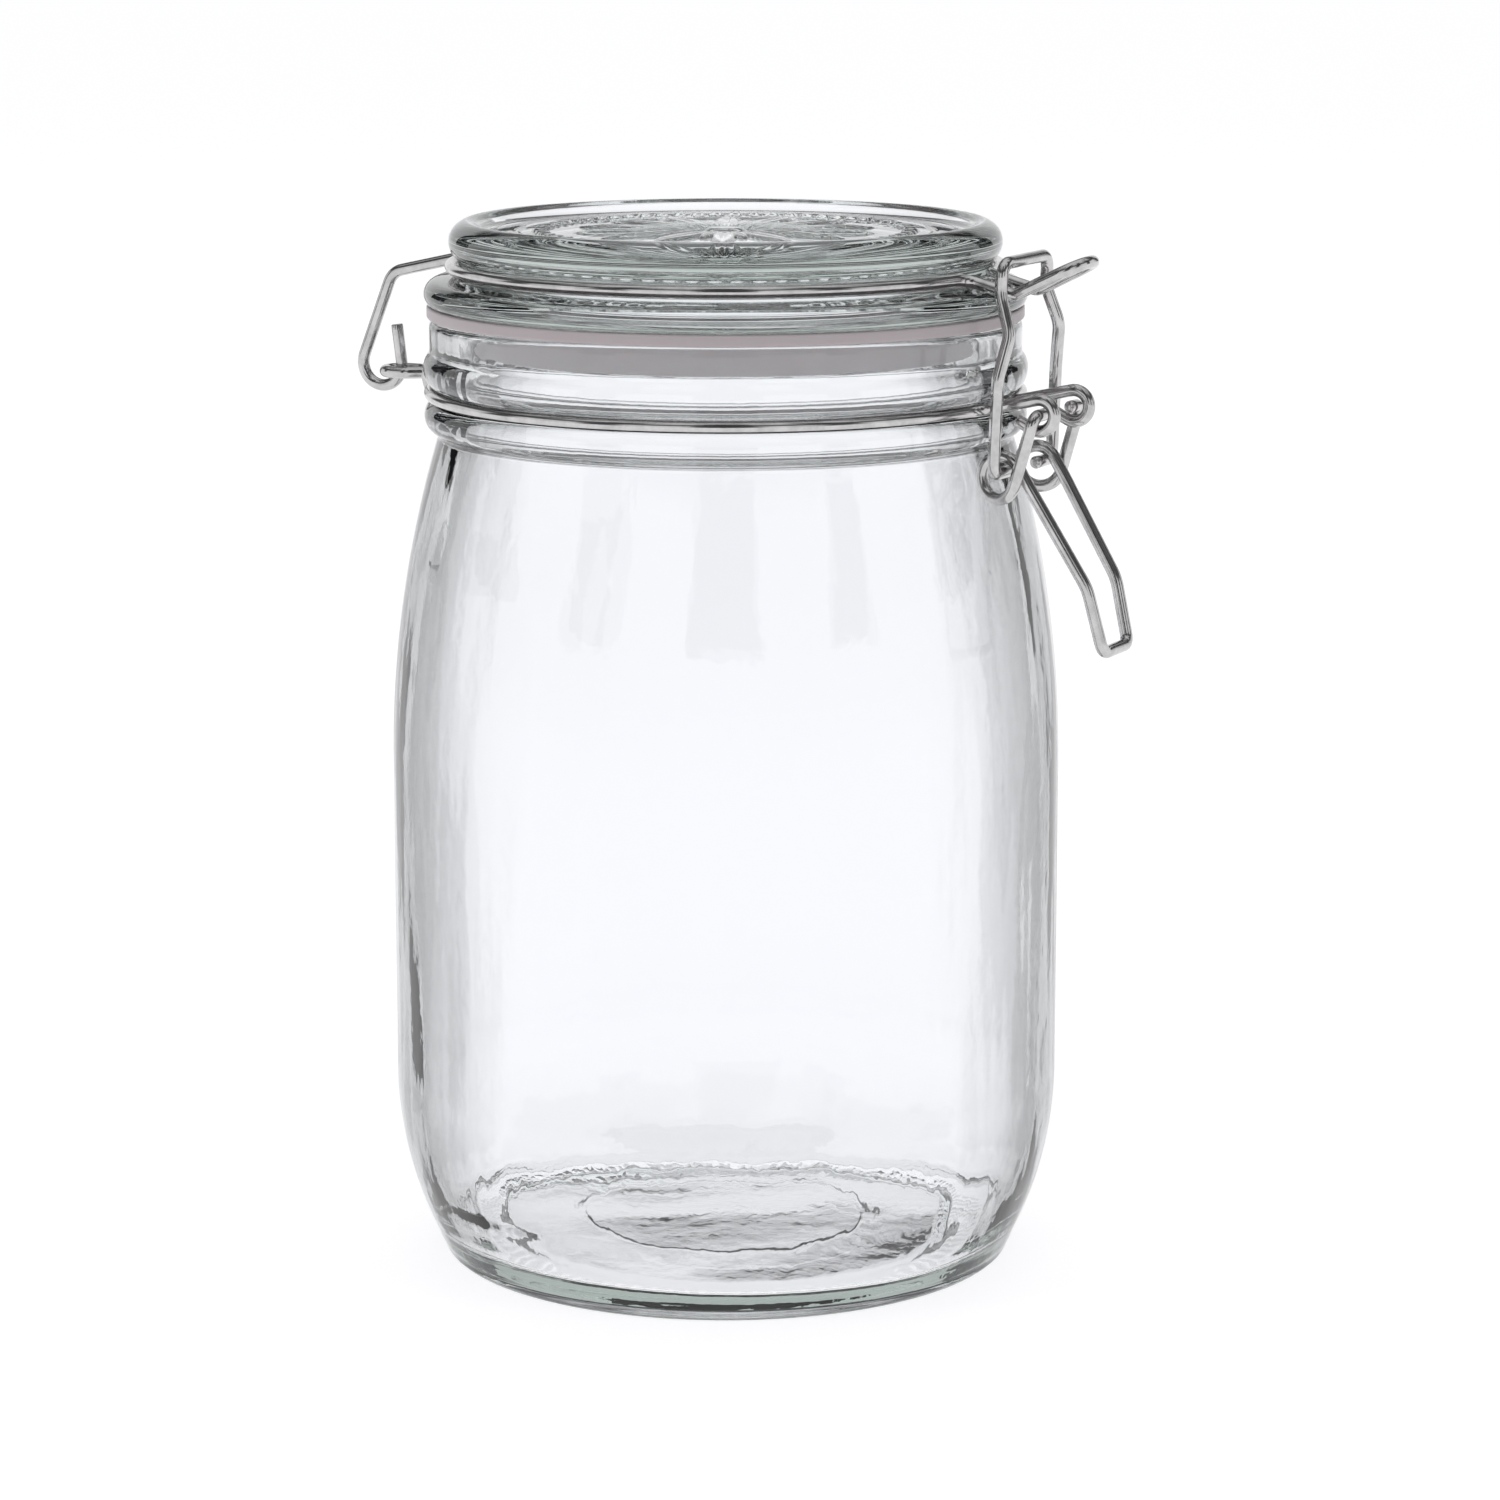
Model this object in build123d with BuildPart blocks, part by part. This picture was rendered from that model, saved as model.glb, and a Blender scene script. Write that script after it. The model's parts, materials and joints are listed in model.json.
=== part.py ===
"""Bail clamp jar: a one litre glass jar with a hinged glass lid, a rubber gasket and a wire latch.

Frame: millimetres, +Z up along the jar's axis, +X toward the latch, -X toward the hinge.
The origin is on the jar's axis, at the height of the foot. Every wire is 2 mm round stock.
"""
import os
from math import acos, atan2, cos, degrees, hypot, radians, sin

from build123d import *

os.makedirs("parts", exist_ok=True)

# Glass jar
BODY_R = 55.0
WALL = 3.7
FOOT_R = 46.0
STRAIGHT_Z0 = 30.3
STRAIGHT_Z1 = 82.7
SHOULDER_ARC_R = 184.0
NECK_R = 48.3
MOUTH_R = 43.4
RIM_Z = 155.5
FLOOR_Z = 6.4

# Glass lid and gasket
GASKET_R = 48.5
GASKET_BORE_R = 39.0
GASKET_Z0 = RIM_Z + 0.05
GASKET_Z1 = 157.5
SKIRT_R = 41.3
SKIRT_Z = 150.3
PLUG_R = GASKET_BORE_R - 0.1
PLUG_Z = 149.3
FLANGE_R = 49.1
LID_CROWN_R = 45.0
LID_TOP_Z = 171.1

# Wire stock and the two grooves that hold the wires
WIRE_R = 1.0
NECK_WIRE_R = 48.1
NECK_WIRE_Z = 143.3
LID_WIRE_R = 44.5
LID_WIRE_Z = 163.7

# Latch, in the X-Z plane: A is the lever's pivot, B is the link's pivot
PIVOT_A = (58.6, 143.2)
PIVOT_B = (52.8, 134.0)
HOOK_R = 2.5
HOOK_Y = 7.0
COIL_CENTRE = (52.3, 133.2)
COIL_R = 3.25
ARM_Y = 9.3
COIL_PITCH = 2.2
HANDLE_KINK = (66.6, 116.2)
HANDLE_END = (69.1, 106.0)
HANDLE_Y = 5.15
LEG_Y = 11.6
BAR_Y = 8.9
BAR = (52.9, 166.8)
PIN_END_Y = 5.0
PIN_BEND_R = 1.8

# Lid wire: the tongue in front and the hinge hook behind
TONGUE_ROOT = (53.0, 161.5)
TONGUE_TIP = (63.8, 166.8)
TONGUE_Y = 4.2
ROOT_Y = 4.8
HINGE = (-64.0, NECK_WIRE_Z)
HINGE_HOOK_R = 3.75
HINGE_HOOK_CENTRE = (HINGE[0] - 1.0, HINGE[1] + 1.1)
HINGE_CORNER = (-62.8, 159.9)
HINGE_PIN_Z = 151.1
EYE_Y = 2.7
CLASP_X = -54.3
CLASP_R = 3.3
STRAND_Y = 1.05


def tangent_angle(centre, radius, point, turn):
    """Angle at which a line from a point meets a circle; turn is +1 or -1 for the side."""
    away = (point[0] - centre[0], point[1] - centre[1])
    reach = degrees(acos(radius / hypot(*away)))
    return degrees(atan2(away[1], away[0])) + turn * reach


def on_circle(centre, radius, angle, y):
    """A point of an upright circle in the plane at y."""
    x = centre[0] + radius * cos(radians(angle))
    z = centre[1] + radius * sin(radians(angle))
    return Vector(x, y, z)


def upright_arc(centre, radius, start, end, y):
    """An arc in the plane at y, from one angle to the other."""
    middle = (start + end) / 2
    return ThreePointArc(*(on_circle(centre, radius, a, y) for a in (start, middle, end)))


def groove_arc(radius, z, start, end):
    """A level arc around the jar's axis, from one angle to the other."""
    angles = (start, (start + end) / 2, end)
    return ThreePointArc(*(Vector(radius, 0, z).rotate(Axis.Z, a) for a in angles))


def groove_exit(radius, z, angle, y):
    """Where the tangent of a groove at an angle reaches a given y."""
    start = Vector(radius, 0, z).rotate(Axis.Z, angle)
    along = Vector(0, 1, 0).rotate(Axis.Z, angle)
    return start + along * ((y - start.Y) / along.Y)


def wire_section(path):
    """The wire's round section, drawn at the start of a path."""
    with BuildSketch(Plane(origin=path @ 0, z_dir=path % 0)) as section:
        Circle(WIRE_R)
    return section.sketch


# Jar body: foot, belly, shoulder, bead, wire groove, neck roll and rim, all one piece of glass
with BuildPart() as jar_body:
    with BuildSketch(Plane.XZ) as jar_profile:
        with BuildLine():
            Polyline((0, 2.0), (36.5, 2.0), (39.5, 0), (FOOT_R, 0))
            ThreePointArc((FOOT_R, 0), (FOOT_R + 1.1, 0.5), (FOOT_R + 1.6, 1.6))
            heel = ThreePointArc((FOOT_R + 1.6, 1.6), (52.6, 13.7), (BODY_R, STRAIGHT_Z0))
            Line(heel @ 1, (BODY_R, STRAIGHT_Z1))
            shoulder = JernArc((BODY_R, STRAIGHT_Z1), (0, 1), SHOULDER_ARC_R, 17.1)
            ThreePointArc(shoulder @ 1, (49.2, 139.3), (48.0, NECK_WIRE_Z - 1.15))
            Polyline(
                (48.0, NECK_WIRE_Z - 1.15),
                (NECK_WIRE_R - 1.1, NECK_WIRE_Z - 1.15),
                (NECK_WIRE_R - 1.1, NECK_WIRE_Z + 1.15),
                (48.2, NECK_WIRE_Z + 1.15),
            )
            ThreePointArc((48.2, NECK_WIRE_Z + 1.15), (49.3, 146.9), (NECK_R, 149.9))
            Line((NECK_R, 149.9), (NECK_R, 154.1))
            ThreePointArc((NECK_R, 154.1), (47.9, 155.1), (46.9, RIM_Z))
            Line((46.9, RIM_Z), (MOUTH_R + 1.5, RIM_Z))
            ThreePointArc((MOUTH_R + 1.5, RIM_Z), (MOUTH_R + 0.44, 155.06), (MOUTH_R, 154.0))
            Line((MOUTH_R, 154.0), (MOUTH_R, 139.7))
            inside = Spline(
                (MOUTH_R, 139.7),
                (44.9, 129.7),
                (49.3, 106.7),
                (BODY_R - WALL, STRAIGHT_Z1),
                tangents=((0, -1), (0, -1)),
            )
            Line(inside @ 1, (BODY_R - WALL, STRAIGHT_Z0))
            floor = JernArc((0, FLOOR_Z), (1, 0), 500.0, -4.4)
            heel_arc = ThreePointArc((BODY_R - WALL, STRAIGHT_Z0), (49.3, 15.0), (44.6, 7.4))
            ThreePointArc(heel_arc @ 1, (42.2, 5.6), floor @ 1)
            Line((0, FLOOR_Z), (0, 2.0))
        make_face()
    revolve(axis=Axis.Z)
jar_body.part.label = "jar_body"
export_step(jar_body.part, "parts/jar_body.step")

# Glass lid: hollow plug, rolled flange, wire groove and crown with a sunken top
with BuildPart() as glass_lid:
    with BuildSketch(Plane.XZ) as lid_profile:
        with BuildLine():
            dome = JernArc((0, 164.3), (1, 0), 90.0, -19.5)
            Line(dome @ 1, (33.0, PLUG_Z + 1.0))
            ThreePointArc((33.0, PLUG_Z + 1.0), (35.6, PLUG_Z), (38.0, PLUG_Z + 1.0))
            Polyline((38.0, PLUG_Z + 1.0), (PLUG_R, 152.7), (PLUG_R, GASKET_Z1), (48.3, GASKET_Z1))
            ThreePointArc((48.3, GASKET_Z1), (FLANGE_R, 159.5), (47.0, 161.6))
            Polyline(
                (47.0, 161.6),
                (LID_WIRE_R - 1.1, LID_WIRE_Z - 1.4),
                (LID_WIRE_R - 1.1, LID_WIRE_Z + 1.15),
            )
            ThreePointArc((LID_WIRE_R - 1.1, LID_WIRE_Z + 1.15), (LID_CROWN_R, 167.7), (43.2, 170.7))
            ThreePointArc((43.2, 170.7), (41.8, LID_TOP_Z), (40.6, 170.6))
            ThreePointArc((40.6, 170.6), (39.2, 169.6), (37.4, 169.2))
            Line((37.4, 169.2), (0, 169.2))
            Line((0, 169.2), (0, 164.3))
        make_face()
    revolve(axis=Axis.Z)
glass_lid.part.label = "glass_lid"
export_step(glass_lid.part, "parts/glass_lid.step")

# Gasket: a flat rubber ring on the rim, with a tapered skirt inside the mouth
with BuildPart() as gasket:
    with BuildSketch(Plane.XZ) as gasket_profile:
        with BuildLine():
            Polyline(
                (GASKET_BORE_R, SKIRT_Z),
                (SKIRT_R - 1.0, SKIRT_Z),
                (SKIRT_R, GASKET_Z0),
                (GASKET_R, GASKET_Z0),
                (GASKET_R, GASKET_Z1),
                (GASKET_BORE_R, GASKET_Z1),
                close=True,
            )
        make_face()
    revolve(axis=Axis.Z)
gasket.part.label = "gasket"
export_step(gasket.part, "parts/gasket.step")


def front_hook(side):
    """Edges of a neck wire's front hook, from its free end to the groove; side is -1 or +1."""
    y = side * HOOK_Y
    exit_point = groove_exit(NECK_WIRE_R, NECK_WIRE_Z, side * 16, y)
    top = tangent_angle(PIVOT_A, HOOK_R, (exit_point.X, exit_point.Z), -1)
    curl = upright_arc(PIVOT_A, HOOK_R, -120, top, y)
    free_end = Line(curl @ 0 - (curl % 0) * 2.8, curl @ 0)
    start = Vector(NECK_WIRE_R, 0, NECK_WIRE_Z).rotate(Axis.Z, side * 16)
    strand = FilletPolyline(curl @ 1, exit_point, start, radius=3.0)
    return free_end, curl, strand


# Near neck wire: front hook, half of the groove, then the eye that carries the lid
with BuildPart() as neck_wire_near:
    with BuildLine() as path:
        front_hook(-1)
        groove_arc(NECK_WIRE_R, NECK_WIRE_Z, -16, -166)
        rear = Vector(NECK_WIRE_R, 0, NECK_WIRE_Z).rotate(Axis.Z, -166)
        corner = groove_exit(NECK_WIRE_R, NECK_WIRE_Z, -166, -STRAND_Y)
        FilletPolyline(
            rear,
            corner,
            (CLASP_X - 2.0, -STRAND_Y, NECK_WIRE_Z),
            (CLASP_X - 4.6, -EYE_Y, NECK_WIRE_Z),
            (HINGE[0], -EYE_Y, NECK_WIRE_Z),
            (HINGE[0], EYE_Y, NECK_WIRE_Z),
            (CLASP_X - 4.6, EYE_Y, NECK_WIRE_Z),
            (CLASP_X - 2.0, STRAND_Y, NECK_WIRE_Z),
            (CLASP_X + 3.0, STRAND_Y, NECK_WIRE_Z),
            radius=(2.5, 2.0, 2.0, 2.6, 2.6, 2.0, 2.0),
        )
    sweep(sections=wire_section(path.wires()[0]), path=path.wires()[0])
neck_wire_near.part.label = "neck_wire_near"
export_step(neck_wire_near.part, "parts/neck_wire_near.step")

# Far neck wire: front hook, the other half of the groove, then a clasp round the near wire
with BuildPart() as neck_wire_far:
    with BuildLine() as path:
        front_hook(1)
        groove_arc(NECK_WIRE_R, NECK_WIRE_Z, 16, 160)
        rear = Vector(NECK_WIRE_R, 0, NECK_WIRE_Z).rotate(Axis.Z, 160)
        corner = groove_exit(NECK_WIRE_R, NECK_WIRE_Z, 160, 10.5)
        clasp_top = Vector(CLASP_X, 0, NECK_WIRE_Z + CLASP_R)
        FilletPolyline(
            rear,
            corner,
            (CLASP_X, 6.0, NECK_WIRE_Z + CLASP_R),
            clasp_top,
            radius=3.0,
        )
        turn = [
            Vector(CLASP_X, -CLASP_R * sin(radians(a)), NECK_WIRE_Z + CLASP_R * cos(radians(a)))
            for a in (0, 130, 260)
        ]
        ThreePointArc(*turn)
    sweep(sections=wire_section(path.wires()[0]), path=path.wires()[0])
neck_wire_far.part.label = "neck_wire_far"
export_step(neck_wire_far.part, "parts/neck_wire_far.step")

# Lid wire: tongue in front, ring in the lid's groove, and the hinge hook behind
with BuildPart() as lid_wire:
    for side, last in ((-1, 167), (1, 175)):
        with BuildLine() as path:
            start = Vector(LID_WIRE_R, 0, LID_WIRE_Z).rotate(Axis.Z, side * 13)
            FilletPolyline(
                (TONGUE_TIP[0], 0, TONGUE_TIP[1]),
                (TONGUE_TIP[0], side * TONGUE_Y, TONGUE_TIP[1]),
                (TONGUE_ROOT[0], side * ROOT_Y, TONGUE_ROOT[1]),
                groove_exit(LID_WIRE_R, LID_WIRE_Z, side * 13, side * ROOT_Y),
                start,
                radius=(3.9, 2.5, 3.0),
            )
            groove_arc(LID_WIRE_R, LID_WIRE_Z, side * 13, side * last)
            if side == -1:
                rear = Vector(LID_WIRE_R, 0, LID_WIRE_Z).rotate(Axis.Z, -last)
                meet = tangent_angle(HINGE_HOOK_CENTRE, HINGE_HOOK_R, HINGE_CORNER, 1)
                hook = upright_arc(HINGE_HOOK_CENTRE, HINGE_HOOK_R, meet, 371.5, 0)
                FilletPolyline(
                    rear,
                    groove_exit(LID_WIRE_R, LID_WIRE_Z, -last, 0),
                    (HINGE_CORNER[0], 0, HINGE_CORNER[1]),
                    hook @ 0,
                    radius=(3.0, 3.5),
                )
                rise = (HINGE_PIN_Z - (hook @ 1).Z) / (hook % 1).Z
                Line(hook @ 1, hook @ 1 + (hook % 1) * rise)
        sweep(sections=wire_section(path.wires()[0]), path=path.wires()[0])
lid_wire.part.label = "lid_wire"
export_step(lid_wire.part, "parts/lid_wire.step")

# Latch lever: pins in the neck hooks, a coil eye on each side and a folded handle
with BuildPart() as latch_lever:
    arrive = tangent_angle(COIL_CENTRE, COIL_R, PIVOT_A, -1)
    leave = tangent_angle(COIL_CENTRE, COIL_R, HANDLE_KINK, 1)
    inner_y = ARM_Y - COIL_PITCH
    with BuildLine() as path:
        arm = FilletPolyline(
            (PIVOT_A[0], -PIN_END_Y, PIVOT_A[1]),
            (PIVOT_A[0], -ARM_Y, PIVOT_A[1]),
            on_circle(COIL_CENTRE, COIL_R, arrive, -ARM_Y),
            radius=PIN_BEND_R,
        )
        # Half a turn leans inward by the coil's pitch, and the rest of the turn is upright
        lean_r = hypot(COIL_R, COIL_PITCH / 2)
        ThreePointArc(
            arm @ 1,
            on_circle(COIL_CENTRE, lean_r, arrive - 90, -ARM_Y + COIL_PITCH / 2),
            on_circle(COIL_CENTRE, COIL_R, arrive - 180, -inner_y),
        )
        turn = upright_arc(COIL_CENTRE, COIL_R, arrive - 180, leave - 360, -inner_y)
        FilletPolyline(
            turn @ 1,
            turn @ 1 + (turn % 1) * 3.5,
            (HANDLE_KINK[0], -(HANDLE_Y + 0.8), HANDLE_KINK[1]),
            (HANDLE_END[0], -HANDLE_Y, HANDLE_END[1]),
            (HANDLE_END[0], 0, HANDLE_END[1]),
            radius=(40.0, 9.0, 1.8),
        )
    sweep(sections=wire_section(path.wires()[0]), path=path.wires()[0])
    mirror(about=Plane.XZ)
latch_lever.part.label = "latch_lever"
export_step(latch_lever.part, "parts/latch_lever.step")

# Latch link: pins in the lever's coils, two kinked legs and the bar that pulls the tongue down
with BuildPart() as latch_link:
    with BuildLine() as path:
        FilletPolyline(
            (PIVOT_B[0], -PIN_END_Y, PIVOT_B[1]),
            (PIVOT_B[0], -LEG_Y, PIVOT_B[1]),
            (53.4, -LEG_Y + 0.1, 149.1),
            (54.6, -BAR_Y - 0.9, 155.9),
            (52.6, -BAR_Y, 161.9),
            (BAR[0], -BAR_Y, BAR[1]),
            (BAR[0], 0, BAR[1]),
            radius=(PIN_BEND_R, 6.0, 5.0, 6.0, 2.2),
        )
    sweep(sections=wire_section(path.wires()[0]), path=path.wires()[0])
    mirror(about=Plane.XZ)
latch_link.part.label = "latch_link"
export_step(latch_link.part, "parts/latch_link.step")
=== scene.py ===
import json
from math import acos, atan2, cos, degrees, hypot, pi, radians, sin, tan

import bmesh
import bpy
import numpy as np
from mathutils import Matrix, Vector


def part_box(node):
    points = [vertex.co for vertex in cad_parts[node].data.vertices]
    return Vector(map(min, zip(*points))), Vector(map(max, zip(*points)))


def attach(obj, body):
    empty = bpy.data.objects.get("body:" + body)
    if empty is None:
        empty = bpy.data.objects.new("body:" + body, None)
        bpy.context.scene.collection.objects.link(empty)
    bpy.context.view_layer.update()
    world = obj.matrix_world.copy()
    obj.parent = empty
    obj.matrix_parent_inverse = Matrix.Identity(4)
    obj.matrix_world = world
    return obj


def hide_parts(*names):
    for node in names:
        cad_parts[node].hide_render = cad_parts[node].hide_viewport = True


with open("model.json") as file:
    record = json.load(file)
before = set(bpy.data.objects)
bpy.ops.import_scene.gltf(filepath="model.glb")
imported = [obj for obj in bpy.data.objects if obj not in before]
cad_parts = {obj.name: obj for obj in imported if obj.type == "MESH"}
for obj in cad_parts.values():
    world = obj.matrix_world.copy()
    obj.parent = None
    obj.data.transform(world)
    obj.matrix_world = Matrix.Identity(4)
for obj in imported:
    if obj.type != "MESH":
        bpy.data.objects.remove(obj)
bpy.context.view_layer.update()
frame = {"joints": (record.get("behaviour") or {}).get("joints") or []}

# Lengths are in millimetres until a mesh is made. The frame is the CAD's: +Z up along the
# jar's axis, +X toward the latch, -X toward the hinge.
MM = 0.001
RING_STEPS = 384
WIRE_SIDES = 24
WIRE_R = 1.0
# The worn edge of a wire's cut end, as a share of its radius
END_WEAR = 0.16
# How finely a wire's line is divided: round its bends, and its longest stretch elsewhere
STEPS_PER_RADIAN = 8
RUN_STEP = 0.9


def size(node):
    """A CAD node's lowest and highest corners, in millimetres."""
    return [np.array(corner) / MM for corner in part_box(node)]


def pivot(joint):
    """A joint's place in the X-Z plane, in millimetres."""
    place = next(j for j in frame["joints"] if j["name"] == joint)["pos_m"]
    return place[0] / MM, place[2] / MM


BODY_R = size("jar_body")[1][1]
RIM_Z = size("jar_body")[1][2]
GASKET_R = size("gasket")[1][1]
SKIRT_Z, GASKET_Z1 = size("gasket")[0][2], size("gasket")[1][2]
FLANGE_R = size("glass_lid")[1][1]
PLUG_Z, LID_TOP_Z = size("glass_lid")[0][2], size("glass_lid")[1][2]
LEVER_PIVOT = pivot("lever_pivot")
LINK_PIVOT = pivot("link_pivot")
HINGE = pivot("lid_hinge")


# ---------------------------------------------------------------- mesh helpers


def make_object(name, points, faces, uv=None):
    """A smooth-shaded mesh object from points in millimetres."""
    mesh = bpy.data.meshes.new(name)
    mesh.from_pydata((np.asarray(points) * MM).tolist(), [], faces)
    mesh.shade_smooth()
    if uv is not None:
        layer = mesh.uv_layers.new(name="along")
        for loop in mesh.loops:
            layer.data[loop.index].uv = uv[loop.vertex_index]
    mesh.validate()
    piece = bpy.data.objects.new(name, mesh)
    bpy.context.collection.objects.link(piece)
    return piece


def arc(start, via, end, count):
    """Points of the circle through three points, without its start."""
    (ax, ay), (bx, by), (cx, cy) = start, via, end
    d = 2 * (ax * (by - cy) + bx * (cy - ay) + cx * (ay - by))
    a2, b2, c2 = ax * ax + ay * ay, bx * bx + by * by, cx * cx + cy * cy
    ux = (a2 * (by - cy) + b2 * (cy - ay) + c2 * (ay - by)) / d
    uy = (a2 * (cx - bx) + b2 * (ax - cx) + c2 * (bx - ax)) / d
    r = hypot(ax - ux, ay - uy)
    first = atan2(ay - uy, ax - ux)
    middle = (atan2(by - uy, bx - ux) - first) % (2 * pi)
    last = (atan2(cy - uy, cx - ux) - first) % (2 * pi)
    if middle > last:
        last -= 2 * pi
    angles = [first + last * i / count for i in range(1, count + 1)]
    return [(ux + r * cos(t), uy + r * sin(t)) for t in angles]


def line(start, end, count):
    """Points of a straight run, without its start."""
    return [
        (start[0] + (end[0] - start[0]) * i / count, start[1] + (end[1] - start[1]) * i / count)
        for i in range(1, count + 1)
    ]


def outline(start, *runs):
    """A profile of (radius, height) points. A run is (end, count) or (via, end, count)."""
    points = [start]
    for run in runs:
        points += line(points[-1], *run) if len(run) == 2 else arc(points[-1], *run)
    return np.array(points)


def ring_faces(a, b, count):
    """The faces between two rings of points that start at index a and index b."""
    return [(a + k, a + (k + 1) % count, b + (k + 1) % count, b + k) for k in range(count)]


def revolve(name, profile, shape=None):
    """A closed glass or rubber form: a profile from the axis, or a closed ring, turned about Z.
    shape(radius, height, angle) returns the radius and height with their small departures."""
    ring = np.arange(RING_STEPS) * 2 * pi / RING_STEPS
    r, t = np.meshgrid(profile[:, 0], ring, indexing="ij")
    z = np.repeat(profile[:, 1:2], RING_STEPS, axis=1)
    if shape:
        r, z = shape(r, z, t)
    points = np.stack([r * np.cos(t), r * np.sin(t), z], axis=-1).reshape(-1, 3)
    on_axis = profile[0, 0] == 0
    rows = len(profile)
    faces = []
    for i in range(rows - 1 if on_axis else rows):
        a, b = i * RING_STEPS, ((i + 1) % rows) * RING_STEPS
        if on_axis and i == 0:
            faces += [(a, b + (k + 1) % RING_STEPS, b + k) for k in range(RING_STEPS)]
        elif on_axis and i == rows - 2:
            faces += [(a + k, a + (k + 1) % RING_STEPS, b) for k in range(RING_STEPS)]
        else:
            faces += ring_faces(a, b, RING_STEPS)
    piece = make_object(name, points, faces)
    drop_loose(piece)
    return piece


def drop_loose(piece):
    """Deletes points that no face uses, such as the spare ones on the axis."""
    mesh = bmesh.new()
    mesh.from_mesh(piece.data)
    loose = [v for v in mesh.verts if not v.link_faces]
    bmesh.ops.delete(mesh, geom=loose, context="VERTS")
    bmesh.ops.recalc_face_normals(mesh, faces=mesh.faces)
    mesh.to_mesh(piece.data)
    mesh.free()


def bent(points, radii):
    """A wire's centre line: straight runs between corners, each corner rounded to its radius."""
    points = [Vector(p) for p in points]
    run = [points[0]]
    for before, corner, after, radius in zip(points, points[1:], points[2:], radii):
        u = (before - corner).normalized()
        v = (after - corner).normalized()
        half = u.angle(v) / 2
        reach = radius / tan(half)
        centre = corner + (u + v).normalized() * (radius / sin(half))
        start, end = corner + u * reach, corner + v * reach
        turn = pi - 2 * half
        steps = max(4, int(turn * STEPS_PER_RADIAN))
        across = (start - centre).normalized()
        forward = (-u).normalized()
        for i in range(steps + 1):
            a = turn * i / steps
            run.append(centre + (across * cos(a) + forward * sin(a)) * radius)
        run[-1] = end
    return run + [points[-1]]


def spaced(run, step=RUN_STEP):
    """The same line with its long straight runs divided, so that every stretch is short."""
    out = [run[0]]
    for a, b in zip(run, run[1:]):
        length = (b - a).length
        if length < 1e-6:
            continue
        count = max(1, int(length / step))
        out += [a.lerp(b, i / count) for i in range(1, count + 1)]
    return out


def worn_end(tip, inward, way, radius):
    """The last three sections of a cut wire, from its tip inward: (centre, tangent, radius)."""
    edge = END_WEAR * radius
    return [
        (tip, way, radius - edge),
        (tip + inward * edge * 0.35, way, radius - edge * 0.3),
        (tip + inward * edge, way, radius),
    ]


def tube(name, run, radius):
    """A round wire along a line, with cut ends that have a small worn edge."""
    run = spaced(run)
    tangents = [
        (after - before).normalized()
        for before, after in zip([run[0]] + run[:-1], run[1:] + [run[-1]])
    ]
    side = tangents[0].orthogonal().normalized()
    first, last = tangents[0], tangents[-1]
    stations = worn_end(run[0], first, first, radius)
    stations += [(p, t, radius) for p, t in zip(run[1:-1], tangents[1:-1])]
    stations += reversed(worn_end(run[-1], -last, last, radius))
    points, uv, travelled, before = [], [], 0.0, run[0]
    for centre, tangent, r in stations:
        side = (side - tangent * side.dot(tangent)).normalized()
        up = tangent.cross(side)
        travelled += (centre - before).length
        before = centre
        for k in range(WIRE_SIDES):
            a = 2 * pi * k / WIRE_SIDES
            points.append(centre + (side * cos(a) + up * sin(a)) * r)
            uv.append((travelled / 10, k / WIRE_SIDES))
    faces = []
    for i in range(len(stations) - 1):
        faces += ring_faces(i * WIRE_SIDES, (i + 1) * WIRE_SIDES, WIRE_SIDES)
    end = (len(stations) - 1) * WIRE_SIDES
    faces.append(tuple(reversed(range(WIRE_SIDES))))
    faces.append(tuple(range(end, end + WIRE_SIDES)))
    return make_object(name, [tuple(p) for p in points], faces, uv)


def mirrored(run):
    """A half wire that ends on the X-Z plane, made whole."""
    other = [Vector((p.x, -p.y, p.z)) for p in reversed(run)]
    return run + other[1:]


def tangent_angle(centre, radius, point, turn):
    """Angle at which a line from a point meets a circle; turn is +1 or -1 for the side."""
    away = (point[0] - centre[0], point[1] - centre[1])
    reach = degrees(acos(radius / hypot(*away)))
    return degrees(atan2(away[1], away[0])) + turn * reach


def upright_arc(centre, radius, start, end, y):
    """Points of an upright circle in the plane at y, from one angle to the other."""
    steps = max(6, int(abs(end - start) / 8))
    angles = [radians(start + (end - start) * i / steps) for i in range(steps + 1)]
    return [Vector((centre[0] + radius * cos(a), y, centre[1] + radius * sin(a))) for a in angles]


def groove_arc(radius, z, start, end):
    """Points of a level arc about the jar's axis."""
    steps = int(abs(end - start) / 1.5)
    angles = [radians(start + (end - start) * i / steps) for i in range(steps + 1)]
    return [Vector((radius * cos(a), radius * sin(a), z)) for a in angles]


def groove_exit(radius, z, angle, y):
    """Where the tangent of a groove at an angle reaches a given y."""
    a = radians(angle)
    start = Vector((radius * cos(a), radius * sin(a), z))
    along = Vector((-sin(a), cos(a), 0))
    return start + along * ((y - start.y) / along.y)


# ---------------------------------------------------------------- materials


GLASS_IOR = 1.51
GLASS_DEPTH = (0.70, 0.75, 0.72, 1)
CLEAR = (0.975, 0.975, 0.99, 1)
# How far a wall is turned from the eye where it counts as edge on, and its painted edge shade is
# full
EDGE_ON = 0.82
# How far a surface's normal points up or down: a wall below the first, level past the second
WALL_TO_LEVEL = (0.35, 0.75)
RUBBER_DARK = (0.87, 0.81, 0.82, 1)
RUBBER_PALE = (0.96, 0.91, 0.92, 1)
# Painted shade that darkens the gasket's recessed outer edge
RUBBER_RECESS_SHADE = (0.48, 0.46, 0.47, 1)
# Radii in metres between which the painted shade on the gasket's outer part begins
RECESS_SHADE_FROM, RECESS_SHADE_TO = 0.0425, 0.0445
STEEL_DULL = (0.42, 0.415, 0.41, 1)
STEEL_BRIGHT = (0.60, 0.59, 0.585, 1)


def new_material(name):
    """A material with its Principled shader and node tree."""
    material = bpy.data.materials.new(name)
    material.use_nodes = True
    tree = material.node_tree
    return material, tree, tree.nodes["Principled BSDF"]


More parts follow.
